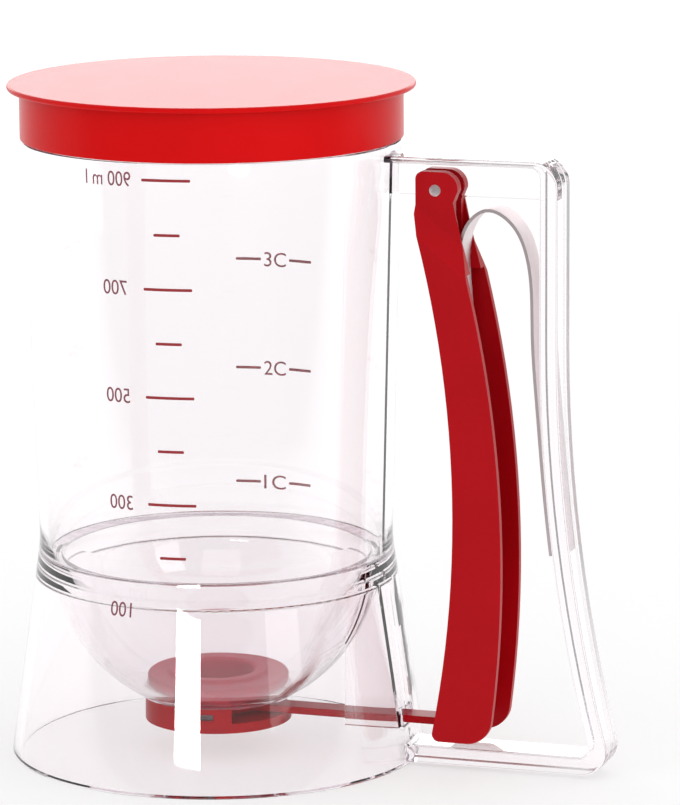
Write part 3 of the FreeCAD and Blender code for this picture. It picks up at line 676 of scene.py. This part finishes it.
# %% Floor
FLOOR_SIZE = 6.0
FLOOR_PAINT = srgb("FCFCFC")
WHITE = srgb("FFFFFF")
BLACK = srgb("000000")
FLOOR_GLOW = 0.5
GLOW_LIFT_BEHIND_GLASS = 0.25
CAMERA_SIDE = Vector((math.sin(OBJECT_TURN), -math.cos(OBJECT_TURN), 0))
DARK_FLOOR_START = 70 * MM
DARK_FLOOR_FULL = 250 * MM
CAMERA_SIDE_LOSS = 0.65


def front_loss(tree, rays):
    """The share of light that the camera's side loses for rays that were mirrored at least once."""
    reflected = add_node(tree, "ShaderNodeMath", {
        0: rays.outputs["Glossy Depth"], 1: CAMERA_SIDE_LOSS}, operation="MINIMUM")
    onward = add_node(tree, "ShaderNodeMath", {
        0: rays.outputs["Is Glossy Ray"], 1: rays.outputs["Is Transmission Ray"]},
        operation="ADD", use_clamp=True)
    return add_node(tree, "ShaderNodeMath", {
        0: reflected.outputs["Value"], 1: onward.outputs["Value"]}, operation="MULTIPLY")


floor_material, tree = new_material("painted_floor_white")
rays = add_node(tree, "ShaderNodeLightPath", {})
seen_or_mirrored = add_node(tree, "ShaderNodeMath", {
    0: rays.outputs["Is Camera Ray"], 1: rays.outputs["Is Glossy Ray"]}, operation="ADD")
seen = add_node(tree, "ShaderNodeMath", {
    0: seen_or_mirrored.outputs["Value"], 1: rays.outputs["Is Transmission Ray"]},
    operation="ADD", use_clamp=True)
share = add_node(tree, "ShaderNodeMath", {
    0: seen.outputs["Value"], 1: FLOOR_GLOW}, operation="MULTIPLY")
paint = add_node(tree, "ShaderNodeBsdfDiffuse", {"Color": FLOOR_PAINT})
lifted = add_node(tree, "ShaderNodeMath", {
    0: rays.outputs["Is Transmission Ray"], 1: GLOW_LIFT_BEHIND_GLASS, 2: 1.0},
    operation="MULTIPLY_ADD")
glow = add_node(tree, "ShaderNodeEmission", {
    "Color": WHITE, "Strength": lifted.outputs["Value"]})
mixed = add_node(tree, "ShaderNodeMixShader", {
    0: share.outputs["Value"], 1: paint.outputs["BSDF"], 2: glow.outputs["Emission"]})
place = add_node(tree, "ShaderNodeTexCoord", {})
forward = add_node(tree, "ShaderNodeVectorMath", {
    0: place.outputs["Object"], 1: CAMERA_SIDE}, operation="DOT_PRODUCT")
in_front = add_node(tree, "ShaderNodeMapRange", {
    "Value": forward.outputs["Value"], "From Min": DARK_FLOOR_START, "From Max": DARK_FLOOR_FULL,
    "To Min": 0.0, "To Max": 1.0})
loss = front_loss(tree, rays)
dimmed = add_node(tree, "ShaderNodeMath", {
    0: in_front.outputs["Result"], 1: loss.outputs["Value"]}, operation="MULTIPLY")
dark = add_node(tree, "ShaderNodeEmission", {"Color": BLACK, "Strength": 0.0})
floor_look = add_node(tree, "ShaderNodeMixShader", {
    0: dimmed.outputs["Value"], 1: mixed.outputs["Shader"], 2: dark.outputs["Emission"]})
add_node(tree, "ShaderNodeOutputMaterial", {"Surface": floor_look.outputs["Shader"]})

bm = bmesh.new()
bmesh.ops.create_grid(bm, x_segments=1, y_segments=1, size=FLOOR_SIZE / 2)
mesh = bpy.data.meshes.new("floor")
bm.to_mesh(mesh)
bm.free()
mesh.materials.append(floor_material)
floor = bpy.data.objects.new("floor", mesh)
bpy.context.scene.collection.objects.link(floor)

# %% [markdown]
# ## The room
# A picture of a studio could light the object, but a plain shader is easier to steer. The room is
# white to the camera, a little greyer overhead in mirror images, and dark on the camera's side
# for mirrored rays, like the floor. Only the light that falls on the object is held to one plain
# level, so the sky can be pure white and the red parts still keep their depth.

# %% Room
ROOM_FILL = 0.96
CEILING_START = 0.35
CEILING_FULL = 0.8
CEILING_GREY = 0.9
DARK_ROOM_START = 0.0
DARK_ROOM_FULL = 0.6

room = bpy.data.worlds.new("room")
bpy.context.scene.world = room
room.use_nodes = True
tree = room.node_tree
tree.nodes.clear()
direction = add_node(tree, "ShaderNodeTexCoord", {})
parts = add_node(tree, "ShaderNodeSeparateXYZ", {"Vector": direction.outputs["Generated"]})
mirrored_room = add_node(tree, "ShaderNodeMapRange", {
    "Value": parts.outputs["Z"], "From Min": CEILING_START, "From Max": CEILING_FULL,
    "To Min": 1.0, "To Max": CEILING_GREY})
facing = add_node(tree, "ShaderNodeVectorMath", {
    0: direction.outputs["Generated"], 1: CAMERA_SIDE}, operation="DOT_PRODUCT")
behind_camera = add_node(tree, "ShaderNodeMapRange", {
    "Value": facing.outputs["Value"], "From Min": DARK_ROOM_START, "From Max": DARK_ROOM_FULL,
    "To Min": 0.0, "To Max": 1.0})
rays = add_node(tree, "ShaderNodeLightPath", {})
loss = front_loss(tree, rays)
lost = add_node(tree, "ShaderNodeMath", {
    0: behind_camera.outputs["Result"], 1: loss.outputs["Value"]}, operation="MULTIPLY")
left_over = add_node(tree, "ShaderNodeMath", {0: 1.0, 1: lost.outputs["Value"]},
                     operation="SUBTRACT")
mirrored = add_node(tree, "ShaderNodeMath", {
    0: mirrored_room.outputs["Result"], 1: left_over.outputs["Value"]}, operation="MULTIPLY")
second_hand = add_node(tree, "ShaderNodeMath", {
    0: rays.outputs["Is Glossy Ray"], 1: rays.outputs["Is Transmission Ray"]},
    operation="ADD", use_clamp=True)
for_light = add_node(tree, "ShaderNodeMix", {
    "Factor": second_hand.outputs["Value"], "A": ROOM_FILL, "B": mirrored.outputs["Value"]})
strength = add_node(tree, "ShaderNodeMix", {
    "Factor": rays.outputs["Is Camera Ray"], "A": for_light.outputs["Result"], "B": 1.0})
sky = add_node(tree, "ShaderNodeBackground", {
    "Color": WHITE, "Strength": strength.outputs["Result"]})
add_node(tree, "ShaderNodeOutputWorld", {"Surface": sky.outputs["Background"]})

# %% [markdown]
# ## The lamps
# A large softbox above the camera and one to the right of it give the red parts their form. Both
# are left out of mirror images, or the clear walls would show them as stray patches. A narrow one
# on the left draws the upright highlight on the stand, and it lights the clear moulding only. A
# low one far behind shines over the lid, which mirrors it, but isn't seen through the plastic.
# Each is aimed at the middle of the object and is kept out of the camera's sight.

# %% Lamps


def softbox(name, azimuth, elevation, distance, width, height, power):
    """An area lamp at that bearing in degrees and distance in metres, aimed at the object."""
    middle = (cad_low + cad_high) / 2
    a, e = math.radians(azimuth), math.radians(elevation)
    towards = Vector((math.cos(a) * math.cos(e), math.sin(a) * math.cos(e), math.sin(e)))
    data = bpy.data.lights.new(name, "AREA")
    data.shape = "RECTANGLE"
    data.size = width
    data.size_y = height
    data.energy = power
    lamp = bpy.data.objects.new(name, data)
    bpy.context.scene.collection.objects.link(lamp)
    lamp.matrix_world = Matrix.LocRotScale(
        middle + towards * distance, (-towards).to_track_quat("-Z", "Y"), None)
    lamp.visible_camera = False
    return lamp


key = softbox("key_softbox", azimuth=-75, elevation=26, distance=1.5,
              width=0.8, height=0.8, power=1.4)
key.visible_glossy = False
side_light = softbox("side_softbox", azimuth=-30, elevation=15, distance=1.5,
                     width=0.6, height=0.9, power=3.2)
side_light.visible_glossy = False
strip = softbox("strip_softbox", azimuth=-88.8, elevation=-1.15, distance=1.2,
                width=0.3, height=0.07, power=1.6)
strip_lit = bpy.data.collections.new("lit_by_the_strip")
strip_lit.objects.link(cup)
strip.light_linking.receiver_collection = strip_lit
back = softbox("back_softbox", azimuth=110, elevation=13, distance=2.0,
               width=2.2, height=0.5, power=6.0)
back.visible_transmission = False

# %% [markdown]
# ## How far light is followed
# A ray that crosses the cup meets many faces of clear plastic, and inside the ring at the waist
# it can be mirrored again and again. Where the count runs out, the plastic turns black. So the
# counts are well above the ones that Blender starts with.

# %% View and bounces
FACES_FOLLOWED = 24
SHADOW_FACES_FOLLOWED = 32
scene = bpy.context.scene
scene.view_settings.view_transform = "Standard"
scene.cycles.max_bounces = FACES_FOLLOWED
scene.cycles.transmission_bounces = FACES_FOLLOWED
scene.cycles.glossy_bounces = FACES_FOLLOWED
scene.cycles.transparent_max_bounces = SHADOW_FACES_FOLLOWED
